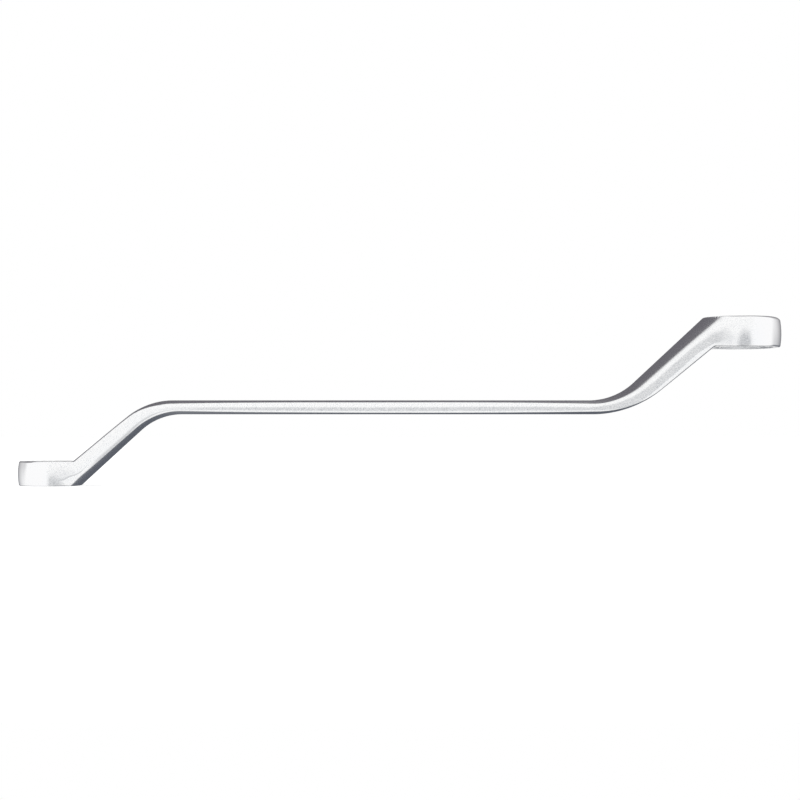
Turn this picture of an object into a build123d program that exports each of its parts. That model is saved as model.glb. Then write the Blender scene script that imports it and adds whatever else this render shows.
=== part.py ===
from build123d import *
from math import cos, radians, sin, sqrt, tan
import os

# A double-ended ring spanner, cranked down at its small ring and up at its large one: one forging.
# Millimetres. The origin is the centre of the small ring's lower face, X runs towards the large
# ring, and Z is the axis of both sockets.

# The whole tool
overall_length = 265

# The rings
small_ring_diameter = 21
large_ring_diameter = 25.7
small_ring_height = 8.5
large_ring_height = 10.4

# How far the ring faces stand proud as forged, before they are faced off flat
facing = 0.03

# The sockets, each for a hexagon of this size across flats
small_across_flats = 14
large_across_flats = 17
socket_clearance = 0.12
lead_in = 0.2
lead_in_angle = 120
corner_turn = 15

# The shank, from the middle of its thickness to the middle of each ring
small_offset = 22.9
large_offset = 26.0
shank_thickness = 4.85
waist_width = 11
crown_radius = 30
rim_radius = 1.0

# The share of the distance between the sockets that each concave flank takes up in plan
small_flank_share = 0.40
large_flank_share = 0.48

# The cranks. Each has its own slope above and below, because it thickens towards its ring.
small_top_angle = 39.4
small_under_angle = 42.5
large_top_angle = 42.5
large_under_angle = 39.6

# Each crank rises off one face of its ring at a foot, past a flat left round the socket's lead-in,
# and meets the other face at a heel, this far outside the ring's own circle
small_land = 0.05
large_land = 0.9
small_heel = 1.1
large_heel = 1.35
foot_radius = 0.5
heel_radius = 1.3

# The bends in side view
small_bend_radius = 20.7
large_bend_radius = 20.6
large_bend_outer_radius = 35.4

# How far a cutting shape runs past what it cuts
overrun = 2

# Worked out from the sizes above
small_radius = small_ring_diameter / 2
large_radius = large_ring_diameter / 2
reach = overall_length - small_radius - large_radius
waist = waist_width / 2
shank_middle = small_ring_height / 2 + small_offset
shank_under = shank_middle - shank_thickness / 2
shank_top = shank_middle + shank_thickness / 2
large_under = shank_middle + large_offset - large_ring_height / 2
large_top = large_under + large_ring_height
half_depth = large_radius + overrun


def corner_radius(across_flats):
    """Radius of the circle through a socket's corners."""
    return (across_flats + socket_clearance) / sqrt(3)


def flat_end(across_flats, land):
    """How far from a socket's axis the ring face runs on flat before its crank's foot starts."""
    return corner_radius(across_flats) + lead_in + land


def foot_place(across_flats, land, angle):
    """How far from a socket's axis its crank would leave the ring face if the foot had no radius."""
    return flat_end(across_flats, land) + foot_radius * tan(radians(angle) / 2)


def crown_drop(y):
    """How far the crowned faces of the shank fall away at a distance y from its middle."""
    return crown_radius - sqrt(crown_radius**2 - y**2)


def side_line(inset, small_face, small_foot, small_angle, shank, large_angle, large_foot, large_face):
    """The six points of the tool's upper or lower line in side view, moved square to itself by inset.

    The ring faces stay where they are, so their feet slide along them.
    """
    small_slope = radians(small_angle)
    large_slope = radians(large_angle)
    small_bend = small_foot + (shank - small_face) / tan(small_slope)
    large_bend = reach - large_foot - (large_face - shank) / tan(large_slope)
    return [
        (-small_radius - overrun, small_face),
        (small_foot + inset / sin(small_slope), small_face),
        (small_bend + inset * tan(small_slope / 2), shank - inset),
        (large_bend + inset * tan(large_slope / 2), shank - inset),
        (reach - large_foot + inset / sin(large_slope), large_face),
        (reach + large_radius + overrun, large_face),
    ]


def upper_line(inset):
    """The upper line, from the small ring's top face to the large ring's."""
    return side_line(
        inset,
        small_ring_height + facing,
        foot_place(small_across_flats, small_land, small_top_angle),
        small_top_angle,
        shank_top,
        large_top_angle,
        large_radius + large_heel,
        large_top + facing,
    )


def lower_line(inset):
    """The lower line, from the small ring's lower face to the large ring's."""
    return side_line(
        inset,
        -facing,
        small_radius + small_heel,
        small_under_angle,
        shank_under,
        large_under_angle,
        foot_place(large_across_flats, large_land, large_under_angle),
        large_under - facing,
    )


# Everything under the crowned upper surface, as a loft through three side views
with BuildPart() as under_crown:
    for y in (-half_depth, 0, half_depth):
        inset = crown_drop(y)
        line = upper_line(inset)
        with BuildSketch(Plane.XZ.offset(-y)):
            with BuildLine():
                FilletPolyline(
                    *line,
                    radius=[
                        foot_radius,
                        small_bend_radius + shank_thickness - inset,
                        large_bend_radius + inset,
                        heel_radius,
                    ],
                )
                Polyline(line[-1], (line[-1][0], -overrun), (line[0][0], -overrun), line[0])
            make_face()
    loft()

# Everything above the crowned lower surface
with BuildPart() as over_crown:
    for y in (-half_depth, 0, half_depth):
        inset = -crown_drop(y)
        line = lower_line(inset)
        roof = large_top + overrun
        with BuildSketch(Plane.XZ.offset(-y)):
            with BuildLine():
                FilletPolyline(
                    *line,
                    radius=[
                        heel_radius,
                        small_bend_radius - inset,
                        large_bend_outer_radius + inset,
                        foot_radius,
                    ],
                )
                Polyline(line[-1], (line[-1][0], roof), (line[0][0], roof), line[0])
            make_face()
    loft()


def flank(ring_radius, run):
    """Radius of a concave flank that leaves the waist at run from a ring's axis and is tangent to
    both, and how far from the axis, along and across, it touches the ring."""
    radius = (run**2 / (ring_radius - waist) - ring_radius - waist) / 2
    share = ring_radius / (ring_radius + radius)
    return radius, run * share, (waist + radius) * share


small_run = small_flank_share * reach
large_run = large_flank_share * reach
small_flank_radius, small_touch_x, small_touch_y = flank(small_radius, small_run)
large_flank_radius, large_touch_x, large_touch_y = flank(large_radius, large_run)

with BuildPart() as spanner_forging:
    # Plan view: two rings joined by a waisted shank
    with BuildSketch(Plane.XY.offset(-overrun)):
        with BuildLine():
            RadiusArc((-small_radius, 0), (small_touch_x, small_touch_y), small_radius)
            RadiusArc((small_touch_x, small_touch_y), (small_run, waist), -small_flank_radius)
            Line((small_run, waist), (reach - large_run, waist))
            RadiusArc(
                (reach - large_run, waist), (reach - large_touch_x, large_touch_y), -large_flank_radius
            )
            RadiusArc((reach - large_touch_x, large_touch_y), (reach + large_radius, 0), large_radius)
            mirror(about=Plane.XZ)
        make_face()
    extrude(amount=large_top + 2 * overrun)
    add(under_crown.part, mode=Mode.INTERSECT)
    add(over_crown.part, mode=Mode.INTERSECT)
    walls = faces().filter_by(GeomType.BSPLINE, reverse=True)
    fillet(walls.edges().filter_by(GeomType.LINE, reverse=True), radius=rim_radius)

    # The ring faces, faced off flat. On the two inner faces the cut stops at the crank's foot.
    split(bisect_by=Plane.XY)
    split(bisect_by=Plane.XY.offset(large_top), keep=Keep.BOTTOM)
    small_tip = -small_radius - overrun
    small_end = flat_end(small_across_flats, small_land)
    large_end = reach - flat_end(large_across_flats, large_land)
    large_tip = reach + large_radius + overrun
    for start, end, lowest in (
        (small_tip, small_end, small_ring_height),
        (large_end, large_tip, large_under - overrun),
    ):
        with Locations((start, 0, lowest)):
            Box(
                end - start,
                2 * half_depth,
                overrun,
                align=(Align.MIN, Align.CENTER, Align.MIN),
                mode=Mode.SUBTRACT,
            )

    # The sockets: twelve corners, as two hexagons a twelfth of a turn apart, with a lead-in at each face
    for axis_x, across_flats, lower_face, upper_face in (
        (0, small_across_flats, 0, small_ring_height),
        (reach, large_across_flats, large_under, large_top),
    ):
        flat_radius = (across_flats + socket_clearance) / 2
        tooth_radius = flat_radius / cos(radians(corner_turn))
        with BuildSketch(Plane((axis_x, 0, lower_face))):
            for turn in (corner_turn, -corner_turn):
                RegularPolygon(flat_radius, 6, major_radius=False, rotation=turn)
        extrude(amount=upper_face - lower_face, mode=Mode.SUBTRACT)
        with Locations(
            Plane((axis_x, 0, upper_face)), Plane((axis_x, 0, lower_face), z_dir=(0, 0, -1))
        ):
            CounterSinkHole(
                tooth_radius,
                corner_radius(across_flats) + lead_in,
                counter_sink_angle=lead_in_angle,
            )

spanner_forging.part.label = "spanner_forging"
os.makedirs("parts", exist_ok=True)
export_step(spanner_forging.part, "parts/spanner_forging.step")
print("volume", round(spanner_forging.part.volume), "valid", spanner_forging.part.is_valid)
print("flank radii", round(small_flank_radius), round(large_flank_radius))
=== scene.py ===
import bmesh
import bpy
import numpy as np
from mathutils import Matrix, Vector


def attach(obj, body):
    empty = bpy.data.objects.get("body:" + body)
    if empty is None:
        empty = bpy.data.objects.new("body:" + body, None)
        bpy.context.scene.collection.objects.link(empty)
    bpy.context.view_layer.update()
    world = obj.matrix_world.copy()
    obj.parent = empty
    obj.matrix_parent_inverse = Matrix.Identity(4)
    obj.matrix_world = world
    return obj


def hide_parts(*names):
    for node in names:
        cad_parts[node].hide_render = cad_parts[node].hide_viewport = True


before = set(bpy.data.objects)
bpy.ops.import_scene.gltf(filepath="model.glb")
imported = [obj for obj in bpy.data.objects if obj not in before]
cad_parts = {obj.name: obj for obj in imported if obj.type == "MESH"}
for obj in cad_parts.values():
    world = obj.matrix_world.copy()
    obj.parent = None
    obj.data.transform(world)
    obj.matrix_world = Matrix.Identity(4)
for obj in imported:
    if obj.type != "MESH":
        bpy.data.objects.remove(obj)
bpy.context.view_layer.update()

# The forging
# The whole spanner is one drop forging of chrome-vanadium steel, cranked down at its small ring and
# up at its large one. Its flash is ground off along both sides, and its ring faces are faced flat.

MM = 0.001
REACH = 241.65
SMALL_RING = 10.5
LARGE_RING = 12.85
WAIST = 5.5
SMALL_RUN = 0.40 * REACH
LARGE_RUN = 0.48 * REACH
SHANK_UNDER = 24.725
SHANK_TOP = 29.575
SMALL_TOP = 8.5
LARGE_UNDER = 47.95
LARGE_TOP = 58.35

# The tool's upper and lower lines in side view: the small ring's face, where the crank would meet
# it if there were no arc, the crank's slope, the shank, the same for the large crank and ring, and
# the radii of the arcs at ring, bend, bend and ring
UPPER_LINE = (SMALL_TOP, 8.95, np.radians(39.6), SHANK_TOP, np.radians(42.9), REACH - 13.97,
              LARGE_TOP, (0.8, 24.0, 23.1, 0.6))
LOWER_LINE = (0.0, 11.1, np.radians(42.7), SHANK_UNDER, np.radians(39.2), REACH - 11.03,
              LARGE_UNDER, (1.3, 21.4, 36.7, 0.8))
# Places along X between each of the four arcs and the next
BETWEEN_ARCS = (20, 110, 221)

# Sizes that change along the tool, as places along X and the size there: the radius of the crowned
# faces, how far the rounding of each rim reaches inwards and down, and the barrel of the side walls
TOP_CROWN = ((8, 45), (22, 45), (40, 16), (115, 14), (188, 17), (212, 18), (226, 16))
UNDER_CROWN = ((8, 25), (30, 25), (48, 21), (79, 24), (121, 30), (164, 32), (188, 32), (220, 75))
TOP_RIM_IN = ((2, 0.7), (14, 0.7), (30, 0.7), (46, 1.0), (188, 1.1), (210, 2.0), (229, 2.4),
              (241, 2.3), (254, 2.3))
TOP_RIM_DOWN = ((2, 0.7), (14, 0.7), (30, 0.7), (46, 1.0), (188, 1.2), (210, 2.0), (229, 2.4),
                (241, 1.3), (254, 1.6))
UNDER_RIM_IN = ((1, 0.6), (7.5, 1.6), (13, 0.9), (18, 1.2), (30, 1.2), (50, 0.6), (188, 0.6),
                (206, 0.8), (221, 1.5), (236, 0.8), (241, 0.7))
UNDER_RIM_DOWN = ((1, 0.6), (7.5, 2.3), (13, 0.7), (18, 1.3), (30, 1.2), (50, 0.5), (188, 0.5),
                  (206, 0.7), (219, 1.4), (234, 0.7))
BARREL = ((2, 0.3), (26, 0.05), (215, 0.05), (239, 0.3))

# How many points the parts of a section have, from end to end, how near points are welded, and the
# turn between two faces from which their edge shows as an edge
FACE_POINTS = 21
RIM_POINTS = 11
WALL_POINTS = 11
WELD = 0.002 * MM
SHARP_FROM = np.radians(28)


def flank_radius(ring, run):
    """Radius of a concave flank that is tangent to the waist, run away from the ring's axis, and to
    the ring: half of (run squared over (ring minus waist), less ring and waist)."""
    return (run**2 / (ring - WAIST) - ring - WAIST) / 2


def ring_arc(ring, run, steps):
    """The plan outline round one ring, from its tip to where the flank touches it, for a ring at
    the origin whose tip points to minus X: minus cosine and sine of an even run of angles."""
    touch = run * ring / (ring + flank_radius(ring, run))
    angle = np.linspace(0, np.arccos(-touch / ring), steps)
    facing = np.stack([-np.cos(angle), np.sin(angle)], 1)
    return ring * facing, facing


def flank_arc(ring, run, x):
    """The plan outline along one flank at places x: the waist plus the rise of a circle whose
    centre lies outside the tool, and the outline faces that centre."""
    radius = flank_radius(ring, run)
    centre = np.stack([np.full_like(x, run), np.full_like(x, WAIST + radius)], 1)
    rise = radius - np.sqrt(radius**2 - (x - run) ** 2)
    point = np.stack([x, WAIST + rise], 1)
    return point, (centre - point) / radius


def stretches(*parts):
    """Places along X: for each (start, end, step), an even run that stops short of its end."""
    return np.concatenate([np.arange(start, end - step / 2, step) for start, end, step in parts])


def half_plan():
    """One side of the plan outline from the small ring's tip to the large ring's, as points and the
    directions that the outline faces. The places stand closer at feet, heels and bends."""
    small_places = stretches((1.8, 8.0, 0.7), (8.0, 14.6, 0.15), (14.6, 26.0, 0.8),
                             (26.0, 48.0, 0.5), (48.0, SMALL_RUN, 3.0))
    large_places = stretches((2.4, 10.0, 0.7), (10.0, 16.8, 0.15), (16.8, 28.5, 0.8),
                             (28.5, 55.0, 0.5), (55.0, LARGE_RUN, 3.0))
    small_ring, small_ring_faces = ring_arc(SMALL_RING, SMALL_RUN, 56)
    small_flank, small_flank_faces = flank_arc(SMALL_RING, SMALL_RUN, small_places)
    large_ring, large_ring_faces = ring_arc(LARGE_RING, LARGE_RUN, 64)
    large_flank, large_flank_faces = flank_arc(LARGE_RING, LARGE_RUN, large_places)
    waist_x = np.linspace(SMALL_RUN, REACH - LARGE_RUN, 11)
    waist = np.stack([waist_x, np.full_like(waist_x, WAIST)], 1)
    waist_faces = np.tile([0.0, 1.0], (len(waist_x), 1))
    near = np.concatenate([small_ring, small_flank, waist])
    near_faces = np.concatenate([small_ring_faces, small_flank_faces, waist_faces])
    far = np.concatenate([large_ring, large_flank])[::-1] * (-1, 1) + (REACH, 0)
    far_faces = np.concatenate([large_ring_faces, large_flank_faces])[::-1] * (-1, 1)
    return np.concatenate([near, far]), np.concatenate([near_faces, far_faces])


def smooth_step(value, low, high):
    """0 below low, 1 above high, and three squares less two cubes of the share between them."""
    share = np.clip((value - low) / (high - low), 0, 1)
    return share * share * (3 - 2 * share)


def turned(before, slope, after, next_slope, radius):
    """Heights along two straight lines joined by an arc of radius. The arc's centre lies at radius
    from both lines, above where the line turns up and below where it turns down."""
    way = np.sign(next_slope - slope)
    gap = way * radius * (1 / np.cos(slope) - 1 / np.cos(next_slope))
    along = (before - after + gap) / (np.tan(next_slope) - np.tan(slope))
    centre = before + along * np.tan(slope) + way * radius / np.cos(slope)
    arc = centre - way * np.sqrt(np.maximum(radius**2 - along**2, 0))
    start = along + way * radius * np.sin(slope)
    end = along + way * radius * np.sin(next_slope)
    return np.where(start > 0, before, np.where(end < 0, after, arc))


def line_height(x, line, crown, rim):
    """Height of the upper or lower line at x: ring face, crank, shank, crank and ring face, joined
    by four arcs. Crank and shank are moved square to themselves by crown plus rim, the ring faces
    by rim alone."""
    small_face, small_place, small_slope, shank, large_slope, large_place, large_face, radii = line
    inset = crown + rim
    small_crank = small_face + (x - small_place) * np.tan(small_slope) - inset / np.cos(small_slope)
    large_crank = large_face + (x - large_place) * np.tan(large_slope) - inset / np.cos(large_slope)
    runs = [
        turned(small_face - rim, 0.0, small_crank, small_slope, radii[0]),
        turned(small_crank, small_slope, shank - inset, 0.0, radii[1] - inset),
        turned(shank - inset, 0.0, large_crank, large_slope, radii[2] + inset),
        turned(large_crank, large_slope, large_face - rim, 0.0, radii[3]),
    ]
    return np.select([x < place for place in BETWEEN_ARCS], runs[:3], runs[3])


def eased(x, stations):
    """A size that goes from station to station along X, each time by a smooth step."""
    size = np.full_like(x, stations[0][1])
    for (start, before), (end, after) in zip(stations, stations[1:]):
        size = size + (after - before) * smooth_step(x, start, end)
    return size


def crown(y, radius):
    """Fall of a crowned face at y from its middle: the radius less the height of its circle."""
    return radius - np.sqrt(radius**2 - y**2)


def rim_points(plan, faces, reach_in, reach_down, barrel, line, crown_radius, way):
    """One rim, from the face to the wall: a quarter of an ellipse, reach_in times (1 less cosine)
    inwards of the wall and reach_down times (1 less sine) below the face."""
    angle = np.radians(np.linspace(90, 0, RIM_POINTS))[1:]
    inward = barrel + reach_in * (1 - np.cos(angle))
    fall = way * reach_down * (1 - np.sin(angle))
    x = plan[:, :1] - faces[:, :1] * inward
    y = plan[:, 1:] - faces[:, 1:] * inward
    return x, y, line_height(x, line, way * crown(y, crown_radius), fall)


def face_points(plan, faces, reach_in, barrel, line, crown_radius, way):
    """One broad face and ring face, from rim to rim in even steps across."""
    inward = barrel + reach_in
    x = plan[:, :1] - faces[:, :1] * inward
    y = (plan[:, 1:] - faces[:, 1:] * inward) * np.linspace(-1, 1, FACE_POINTS)
    x = np.broadcast_to(x, y.shape)
    return x, y, line_height(x, line, way * crown(y, crown_radius), 0 * y)


def forging_surface():
    """The forging as a tube of closed sections, one for each place along the outline. Each section
    runs over the crowned top, round the rim, down the barrelled wall, and back underneath. Also
    the places along X and the upper and lower ends of the wall there."""
    plan, faces = half_plan()
    place = plan[:, :1]
    barrel = eased(place, BARREL)
    top = UPPER_LINE, eased(place, TOP_CROWN), 1
    under = LOWER_LINE, eased(place, UNDER_CROWN), -1
    top_in = eased(place, TOP_RIM_IN)
    under_in = eased(place, UNDER_RIM_IN)
    top_face = face_points(plan, faces, top_in, barrel, *top)
    under_face = face_points(plan, faces, under_in, barrel, *under)
    top_rim = rim_points(plan, faces, top_in, eased(place, TOP_RIM_DOWN), barrel, *top)
    under_rim = rim_points(plan, faces, under_in, eased(place, UNDER_RIM_DOWN), barrel, *under)

    down = np.linspace(1, -1, WALL_POINTS)[1:-1]
    wall_x = plan[:, :1] - faces[:, :1] * barrel * down**2
    wall_y = plan[:, 1:] - faces[:, 1:] * barrel * down**2
    wall_top = top_rim[2][:, -1:]
    wall_end = under_rim[2][:, -1:]
    wall_z = (wall_top + wall_end) / 2 + (wall_top - wall_end) / 2 * down

    side = [np.concatenate([upper, wall, lower[:, ::-1]], 1)
            for upper, wall, lower in zip(top_rim, (wall_x, wall_y, wall_z), under_rim)]
    mirrored = side[0], -side[1], side[2]
    section = [np.concatenate([above, right, below[:, ::-1], left[:, ::-1]], 1)
               for above, right, below, left in zip(top_face, side, under_face, mirrored)]
    return np.stack(section, 2), place[:, 0], wall_top[:, 0], wall_end[:, 0]


def grid_faces(rows, columns):
    """Four-sided faces of a grid that closes on itself along its rows."""
    row, column = np.meshgrid(np.arange(rows - 1), np.arange(columns), indexing="ij")
    following = (column + 1) % columns
    corners = [row * columns + column, row * columns + following,
               (row + 1) * columns + following, (row + 1) * columns + column]
    return np.stack(corners, -1).reshape(-1, 4)


def grid_object(name, surface, capped=False):
    """A closed mesh from a grid of points in millimetres, welded where its points meet."""
    rows, columns, _ = surface.shape
    mesh = bpy.data.meshes.new(name)
    mesh.from_pydata(surface.reshape(-1, 3) * MM, [], grid_faces(rows, columns).tolist())
    work = bmesh.new()
    work.from_mesh(mesh)
    if capped:
        work.verts.ensure_lookup_table()
        work.faces.new(work.verts[:columns])
        work.faces.new(work.verts[-columns:])
    bmesh.ops.remove_doubles(work, verts=work.verts, dist=WELD)
    bmesh.ops.dissolve_degenerate(work, edges=work.edges, dist=WELD)
    bmesh.ops.recalc_face_normals(work, faces=work.faces)
    work.to_mesh(mesh)
    work.free()
    obj = bpy.data.objects.new(name, mesh)
    bpy.context.scene.collection.objects.link(obj)
    return obj


surface, wall_places, wall_top, wall_end = forging_surface()
forging = grid_object("forging", surface)

# The sockets
# Each ring is broached right through with twelve corners, so a hexagon seats every thirty degrees.
# A lead-in is countersunk at both faces. Broaching leaves fine marks along the socket's axis. The
# cutting shapes reach past both faces.

SMALL_FLATS = 14
LARGE_FLATS = 17
SOCKET_CLEARANCE = 0.12
LEAD_IN = 0.2
LEAD_IN_SLOPE = np.tan(np.radians(30))
PAST_FACE = 2.0
STEPS_PER_HALF_CORNER = 6


def socket_shape(across_flats, axis_x, under, top):
    """The space that the broach and both countersinks take out: at each angle round the socket's
    axis, the outline of two hexagons a twelfth of a turn apart, widened near each face by a cone.
    The radius is the larger of the two, and rows lie where they meet."""
    half_flats = (across_flats + SOCKET_CLEARANCE) / 2
    angle = np.linspace(0, 2 * np.pi, 24 * STEPS_PER_HALF_CORNER, endpoint=False)
    within = np.abs((angle + np.pi / 12) % (np.pi / 6) - np.pi / 12)
    star = half_flats / np.cos(np.pi / 12 + within)
    widest = 2 * half_flats / np.sqrt(3) + LEAD_IN
    depth = (widest - star) * LEAD_IN_SLOPE
    rim = np.full_like(star, widest)
    radius = np.stack([rim, rim, star, star, rim, rim])
    height = np.stack([0 * star + under - PAST_FACE, 0 * star + under, under + depth,
                       top - depth, 0 * star + top, 0 * star + top + PAST_FACE])
    return np.stack([axis_x + radius * np.cos(angle), radius * np.sin(angle), height], 2)


for name, across_flats, axis_x, under, top in (
    ("small_broach", SMALL_FLATS, 0.0, 0.0, SMALL_TOP),
    ("large_broach", LARGE_FLATS, REACH, LARGE_UNDER, LARGE_TOP),
):
    broach = grid_object(name, socket_shape(across_flats, axis_x, under, top), capped=True)
    cut = forging.modifiers.new(name, "BOOLEAN")
    cut.operation = "DIFFERENCE"
    cut.solver = "EXACT"
    cut.object = broach
bpy.context.view_layer.update()
cut_mesh = bpy.data.meshes.new_from_object(
    forging.evaluated_get(bpy.context.evaluated_depsgraph_get())
)
forging.modifiers.clear()
forging.data = cut_mesh
for name in ("small_broach", "large_broach"):
    bpy.data.objects.remove(bpy.data.objects[name])
forging.data.shade_smooth()
forging.data.set_sharp_from_angle(angle=SHARP_FROM)

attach(forging, "root")
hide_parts("spanner_forging")

# The plating
# Nickel under a flash of chromium, over steel that was blasted to a satin grain. The walls of the
# rings are polished beyond the sockets' axes, and the line of the flash is ground along both sides.

# The ground band, as places along X, how high above the middle of the wall its upper and lower
# edges lie there, and how softly it fades at its upper edge
GROUND_BAND = ((60, 0.33, -0.56, 0.15), (120, 0.5, -0.79, 0.25), (139, 0.6, -0.75, 0.25),
               (157, 0.75, -0.6, 0.25), (180, 0.75, -0.45, 0.25), (187, 0.65, -0.25, 0.25),
               (191, 1.0, -0.35, 0.25), (194, 1.2, -0.5, 0.25), (198, 1.35, -0.9, 0.25),
               (201, 1.55, -1.2, 0.3), (204, 1.95, -1.3, 0.35), (208, 2.15, -1.1, 0.4),
               (218, 2.8, -0.9, 0.4), (224, 3.3, 0.1, 0.5),
               (230, 2.6, -0.8, 1.3), (236, 3.0, -1.5, 1.5))

# Where a finish or a painted shade sets in and ends along X: start, full, fade and end
GROUND_ALONG = (34, 62, 229, 236)
# The next two places and the sizes below them are for painted shade on the small crank's lower edge
# and crease
EDGE_SHADE_ALONG = (14, 20, 36, 50)
CREASE_SHADE_ALONG = (2, 6, 12, 16)
# The same down the small crank, in half heights of the wall below its middle
EDGE_SHADE_DOWN = (1.35, 1.9, 2.1, 2.4)
# How far the painted crease shade reaches, and how much darker tone the painted edge and crease
# shade take
CREASE_SHADE_HALF = 0.06
EDGE_SHADE_SHARE = 0.8
CREASE_SHADE_SHARE = 0.9

# Coarser patches at both heels: place along X and how far it reaches, height and how far it
# reaches up and down, and its share. They are full over the inner part of their reach, and the
# last ends at the wall's lower edge.
HEEL_PATCHES = ((3.7, 4.4, 0.0, 5.4, 0.85), (REACH - 2.2, 3.4, 49.0, 6.0, 1.0),
                (REACH - 9.5, 6.0, 50.5, 3.5, 0.3), (6.5, 8.0, 1.0, 7.0, 0.3))
PATCH_CORE = 0.3
# In millimetres: what lies nearer than this counts as lying on it
CLOSE = 0.01


def between(value, start, full, fade, end):
    """0 up to start, 1 from full to fade, and 0 again from end on, by smooth steps."""
    return smooth_step(value, start, full) * (1 - smooth_step(value, fade, end))


def mark_finishes(obj):
    """Four shares at each point of the mesh. Polished: where the wall lies beyond a socket's axis.
    Ground: between the lowest and highest line of the ground band. Coarse and painted shade: coarse
    grain in ellipses at the heels, and painted shade along the small crank's lower edge and crease,
    whose level is the height above the middle of the wall over half its height. Faced: on the four
    flat ring faces, each as far as it reaches from its ring's axis towards the shank."""
    count = len(obj.data.vertices)
    point = np.empty(count * 3)
    obj.data.vertices.foreach_get("co", point)
    x, y, z = point.reshape(-1, 3).T / MM
    middle = np.interp(x, wall_places, (wall_top + wall_end) / 2)
    half = np.interp(x, wall_places, (wall_top - wall_end) / 2)
    polished = np.maximum(1 - smooth_step(x, 1.0, 2.4), smooth_step(x, REACH - 1.2, REACH + 2.8))
    level = (z - middle) / half
    places, highest, lowest, softness = np.array(GROUND_BAND).T
    above = z - middle - np.interp(x, places, highest)
    below = z - middle - np.interp(x, places, lowest)
    soft = np.interp(x, places, softness)
    ground = (1 - smooth_step(above, -soft, soft)) * smooth_step(below, -0.1, 0.02)
    ground = ground * between(x, *GROUND_ALONG) * (1 - polished)
    # Painted shade: a darker band on the small crank's lower edge and a dark line along its crease
    edge = between(-level, *EDGE_SHADE_DOWN) * between(x, *EDGE_SHADE_ALONG)
    crease = (np.abs(level + 1) < CREASE_SHADE_HALF) * between(x, *CREASE_SHADE_ALONG)
    patches = [share * (1 - smooth_step(np.hypot((x - at_x) / along, (z - at_z) / up),
                                        PATCH_CORE, 1.0))
               for at_x, along, at_z, up, share in HEEL_PATCHES]
    patches[-1] = patches[-1] * smooth_step(level, -1.1, -0.95)
    coarse_and_painted_shade = np.max([*patches, EDGE_SHADE_SHARE * edge, CREASE_SHADE_SHARE * crease], 0) * (1 - polished)
    faced = np.any([(np.abs(z - height) < CLOSE) & (inward < reach) for height, inward, reach in (
        (0, x, 11.5), (SMALL_TOP, x, 9.5),
        (LARGE_UNDER, REACH - x, 11.5), (LARGE_TOP, REACH - x, 14.5))], 0)
    for name, share in (("polished", polished), ("ground", ground), ("coarse_and_painted_shade", coarse_and_painted_shade),
                        ("faced", faced)):
        marked = obj.data.attributes.new(name, "FLOAT", "POINT")
        marked.data.foreach_set("value", share.astype(np.float32))


def linear(code):
    """A colour written as sRGB hex, as the linear values that a shader takes."""
    value = np.array([int(code[i:i + 2], 16) for i in (0, 2, 4)]) / 255
    value = np.where(value <= 0.04045, value / 12.92, ((value + 0.055) / 1.055) ** 2.4)
    return (*value.tolist(), 1.0)


def add(tree, kind, inputs=None, **settings):
    """Adds one node with its settings. Each input is a value or another node's output."""
    made = tree.nodes.new(kind)
    for key, value in settings.items():
        setattr(made, key, value)
    for key, value in (inputs or {}).items():
        if isinstance(value, bpy.types.NodeSocket):
            tree.links.new(value, made.inputs[key])
        else:
            made.inputs[key].default_value = value
    return made


def noise(tree, vector, size, **inputs):
    """The value of a noise whose grains are about size millimetres across. Other inputs are named
    as on the node, in lower case."""
    inputs = {key.capitalize(): value for key, value in inputs.items()}
    return add(tree, "ShaderNodeTexNoise", {"Vector": vector, "Scale": 1 / (size * MM),
                                            **inputs}).outputs["Fac"]


def ranged(tree, value, start, end, low=0.0, high=1.0, **settings):
    """Low where a value is start, high where it is end, and in proportion between, unless the
    settings name another interpolation."""
    return add(tree, "ShaderNodeMapRange", {"Value": value, "From Min": start, "From Max": end,
                                            "To Min": low, "To Max": high}, **settings).outputs[0]


def mixed(tree, share, first, second):
    """First where share is 0 and second where it is 1. The node's inputs 2 and 3 are two plain
    values, and 6 and 7 two colours."""
    if isinstance(second, float):
        return add(tree, "ShaderNodeMix", {"Factor": share, 2: first, 3: second}).outputs[0]
    return add(tree, "ShaderNodeMix", {"Factor": share, 6: first, 7: second},
               data_type="RGBA").outputs[2]


mark_finishes(forging)

# Satin chrome scatters what it mirrors, so it reads as pale grey with a fine sparkle. The real
# grain is about 0.05 mm, and it is drawn at 0.3 mm so that it shows.
chrome = bpy.data.materials.new("satin_chrome_plate")
chrome.use_nodes = True
tree = chrome.node_tree
shader = tree.nodes["Principled BSDF"]
place = add(tree, "ShaderNodeTexCoord").outputs["Object"]
polished = add(tree, "ShaderNodeAttribute", attribute_name="polished").outputs["Fac"]
ground = add(tree, "ShaderNodeAttribute", attribute_name="ground").outputs["Fac"]
coarse_and_painted_shade = add(tree, "ShaderNodeAttribute", attribute_name="coarse_and_painted_shade").outputs["Fac"]
faced = add(tree, "ShaderNodeAttribute", attribute_name="faced").outputs["Fac"]
grain = noise(tree, place, 0.3, detail=3.0, roughness=0.7)
clouds = noise(tree, place, 4, detail=2.0)
specks = noise(tree, place, 0.4, detail=2.0)
satin_tone = mixed(tree, ranged(tree, grain, 0.36, 0.5), linear("E3E5E8"), linear("FFFFFF"))
ground_tone = mixed(tree, ranged(tree, grain, 0.3, 0.7), linear("B5B8BC"), linear("FFFFFF"))
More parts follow.
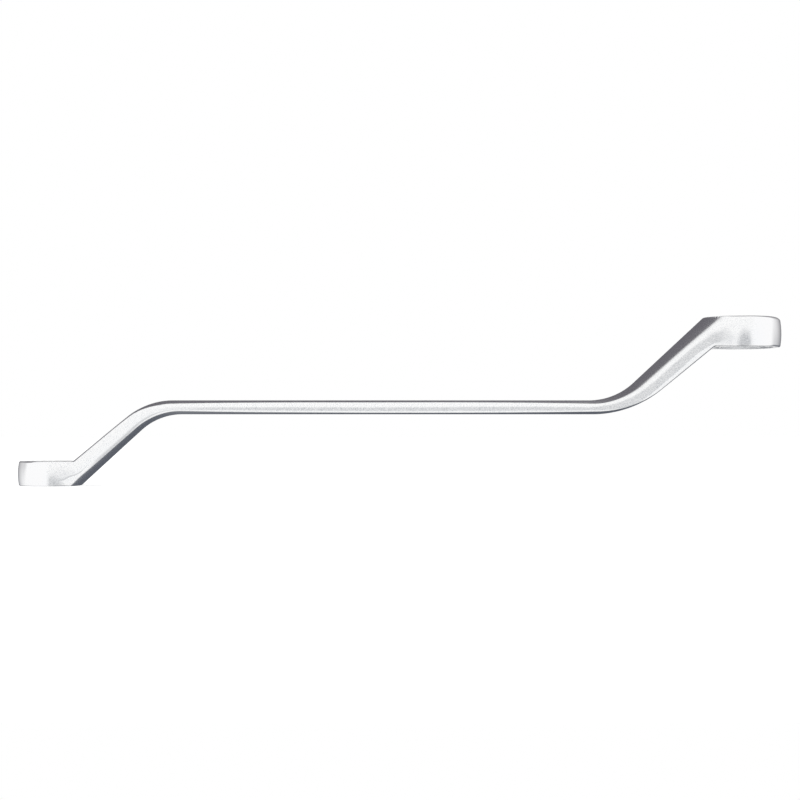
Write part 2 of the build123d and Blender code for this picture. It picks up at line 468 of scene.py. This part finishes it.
# This darker tone is real coarse grain at the heels and painted shade on the small crank's lower
# edge and crease
coarse_and_shaded_tone = mixed(tree, ranged(tree, specks, 0.35, 0.65), linear("B9BBBE"), linear("D9DADC"))
tone = mixed(tree, ground, satin_tone, ground_tone)
tone = mixed(tree, coarse_and_painted_shade, tone, coarse_and_shaded_tone)
tone = mixed(tree, polished, tone, linear("FBFBFC"))
tree.links.new(tone, shader.inputs["Base Color"])
tree.links.new(ranged(tree, faced, 0, 1, 1.0, 0.1), shader.inputs["Metallic"])
shader.inputs["Specular IOR Level"].default_value = 0.0
roughness = mixed(tree, ground, ranged(tree, clouds, 0, 1, 0.20, 0.30), 0.38)
roughness = mixed(tree, faced, roughness, 0.75)
roughness = mixed(tree, polished, roughness, 0.08)
tree.links.new(roughness, shader.inputs["Roughness"])
bump = add(tree, "ShaderNodeBump", {"Height": grain, "Distance": 0.03 * MM,
                                    "Strength": ranged(tree, polished, 0, 1, 0.5, 0.0)})
tree.links.new(bump.outputs[0], shader.inputs["Normal"])

# Broached steel takes the plating thinly: darker, with fine marks along the socket's axis.
broached = bpy.data.materials.new("broached_chromed_steel")
broached.use_nodes = True
tree = broached.node_tree
shader = tree.nodes["Principled BSDF"]
place = add(tree, "ShaderNodeTexCoord").outputs["Object"]
drawn = add(tree, "ShaderNodeMapping", {"Vector": place, "Scale": (1, 1, 0.03)})
marks = noise(tree, drawn.outputs[0], 0.25)
tone = mixed(tree, marks, linear("ECEDEF"), linear("FCFDFD"))
tree.links.new(tone, shader.inputs["Base Color"])
shader.inputs["Metallic"].default_value = 1.0
shader.inputs["Roughness"].default_value = 0.5
bump = add(tree, "ShaderNodeBump", {"Height": marks, "Distance": 0.05 * MM, "Strength": 0.3})
tree.links.new(bump.outputs[0], shader.inputs["Normal"])

forging.data.materials.clear()
forging.data.materials.append(chrome)
forging.data.materials.append(broached)


def inside_sockets(obj):
    """Which faces lie within a socket: their middle is nearer its axis than its lead-in's rim, and
    they aren't level."""
    count = len(obj.data.polygons)
    middle, facing = np.empty(count * 3), np.empty(count * 3)
    obj.data.polygons.foreach_get("center", middle)
    obj.data.polygons.foreach_get("normal", facing)
    x, y, _ = middle.reshape(-1, 3).T / MM
    level = np.abs(facing.reshape(-1, 3)[:, 2]) > 0.99
    rim = [(flats + SOCKET_CLEARANCE) / np.sqrt(3) + LEAD_IN + CLOSE
           for flats in (SMALL_FLATS, LARGE_FLATS)]
    small = np.hypot(x, y) < rim[0]
    large = np.hypot(x - REACH, y) < rim[1]
    return (small | large) & ~level


forging.data.polygons.foreach_set("material_index", inside_sockets(forging).astype(np.int32))

# The studio
# A white paper sweep under the small ring, white light from all round, and a soft lamp overhead.
# Far behind the tool stands a dark screen that only the plating sees, so that its rims read against
# the white, and a box light beside it cuts the screen's picture short.

floor_mesh = bpy.data.meshes.new("floor")
floor_side = 4.0
floor_mesh.from_pydata(
    [(-floor_side, -floor_side, 0), (floor_side, -floor_side, 0), (floor_side, floor_side, 0),
     (-floor_side, floor_side, 0)], [], [(0, 1, 2, 3)])
floor = bpy.data.objects.new("floor", floor_mesh)
bpy.context.scene.collection.objects.link(floor)
# The plating mirrors the room's light here, and not the floor's shaded paper
floor.visible_glossy = False

# Matt white paper. Its glow reaches the camera alone and lifts it to white, and the tool's shadow
# still lies on it.
paper = bpy.data.materials.new("white_paper_sweep")
paper.use_nodes = True
tree = paper.node_tree
shader = tree.nodes["Principled BSDF"]
shader.inputs["Base Color"].default_value = linear("F4F4F4")
shader.inputs["Roughness"].default_value = 0.9
path = add(tree, "ShaderNodeLightPath")
glow = add(tree, "ShaderNodeEmission", {"Color": linear("B4B4B4"),
                                        "Strength": path.outputs["Is Camera Ray"]})
both = add(tree, "ShaderNodeAddShader", {0: shader.outputs[0], 1: glow.outputs[0]})
tree.links.new(both.outputs[0], tree.nodes["Material Output"].inputs["Surface"])
floor_mesh.materials.append(paper)

world = bpy.data.worlds.new("studio")
bpy.context.scene.world = world
world.use_nodes = True
tree = world.node_tree
tree.nodes.clear()
path = add(tree, "ShaderNodeLightPath")
direction = add(tree, "ShaderNodeTexCoord").outputs["Generated"]
height = add(tree, "ShaderNodeSeparateXYZ", {0: direction}).outputs["Z"]
screen_tone = mixed(tree, ranged(tree, height, -0.1, 0.1), linear("5C6069"), linear("66646A"))


def off_axis(axis, near, far):
    """0 within near degrees of an axis and 1 beyond far degrees, by a smooth step."""
    axis = Vector(axis).normalized()
    along = add(tree, "ShaderNodeVectorMath", {0: direction, 1: axis}, operation="DOT_PRODUCT")
    angle = add(tree, "ShaderNodeMath", {0: along.outputs["Value"]}, operation="ARCCOSINE")
    return ranged(tree, angle.outputs[0], np.radians(near), np.radians(far),
                  interpolation_type="SMOOTHSTEP")


def off_plane(normal, near, far, middle=0):
    """0 within near degrees of the plane through the tool that has this normal, or of the cone that
    lies middle degrees to its side, and 1 beyond far degrees, by a smooth step."""
    along = add(tree, "ShaderNodeVectorMath", {0: direction, 1: normal}, operation="DOT_PRODUCT")
    angle = add(tree, "ShaderNodeMath", {0: along.outputs["Value"]}, operation="ARCSINE")
    away = add(tree, "ShaderNodeMath", {0: angle.outputs[0], 1: np.radians(middle)},
               operation="SUBTRACT")
    away = add(tree, "ShaderNodeMath", {0: away.outputs[0]}, operation="ABSOLUTE")
    return ranged(tree, away.outputs[0], np.radians(near), np.radians(far),
                  interpolation_type="SMOOTHSTEP")


def beyond(towards, near, far):
    """0 where a direction's part along towards is below near and 1 above far, by a smooth step."""
    along = add(tree, "ShaderNodeVectorMath", {0: direction, 1: towards}, operation="DOT_PRODUCT")
    return ranged(tree, along.outputs["Value"], near, far, interpolation_type="SMOOTHSTEP")


# What the plating mirrors: the room, then the dark screen along one plane and its narrower part
# along a cone, and last the room again where the screen ends and where the box light stands
room = mixed(tree, off_axis((0.45, -0.85, -0.3), 10, 45), linear("FDFEFF"), linear("FFFFFF"))
seen = mixed(tree, off_plane((0.914, -0.064, 0.401), 5, 95), screen_tone, room)
seen = mixed(tree, off_plane((-0.406, -0.111, 0.907), 71, 91, 20), seen, room)
clear_of_box = add(tree, "ShaderNodeMath", {0: beyond((0, 1, -1.1), -0.35, -0.05),
                                            1: beyond((-1, 1, -0.7), -0.15, 0.1)},
                   operation="MAXIMUM")
for share in (beyond((0, 1, 0.35), -0.22, 0.14), clear_of_box.outputs[0]):
    seen = mixed(tree, share, room, seen)
seen = mixed(tree, path.outputs["Is Glossy Ray"], linear("FFFFFF"), seen)
direct = add(tree, "ShaderNodeMath", {0: path.outputs["Is Camera Ray"],
                                      1: path.outputs["Is Glossy Ray"]}, operation="MAXIMUM")
direct = add(tree, "ShaderNodeMath", {0: direct.outputs[0],
                                      1: path.outputs["Is Transmission Ray"]},
             operation="MAXIMUM")
background = add(tree, "ShaderNodeBackground",
                 {"Color": seen, "Strength": ranged(tree, direct.outputs[0], 0, 1, 0.7, 1.0)})
add(tree, "ShaderNodeOutputWorld", {"Surface": background.outputs[0]})


def soft_lamp(name, place, aim, side, power):
    """A square area lamp at place, turned to aim."""
    lamp = bpy.data.lights.new(name, "AREA")
    lamp.size = side
    lamp.energy = power
    obj = bpy.data.objects.new(name, lamp)
    obj.location = place
    obj.rotation_euler = (Vector(aim) - Vector(place)).to_track_quat("-Z", "Y").to_euler()
    bpy.context.scene.collection.objects.link(obj)
    return obj


softbox = soft_lamp("overhead_softbox", place=(0.12, -0.1, 1.2), aim=(0.12, 0, 0), side=1.2,
                    power=4)
# Its own picture in the plating would bleach the heels and the shank
softbox.visible_glossy = False

# The camera
# It stands square to the tool's side, a little above the floor, and looks slightly up.

camera_data = bpy.data.cameras.new("camera")
camera_data.lens = 69.84
camera_data.sensor_width = 36
camera = bpy.data.objects.new("camera", camera_data)
camera.location = (0.1211, -0.54, 0.0187)
camera_aim = Vector((0.122, 0, 0.0297)) - camera.location
camera.rotation_euler = camera_aim.to_track_quat("-Z", "Y").to_euler()
bpy.context.scene.collection.objects.link(camera)
bpy.context.scene.camera = camera
bpy.context.scene.view_settings.view_transform = "Standard"
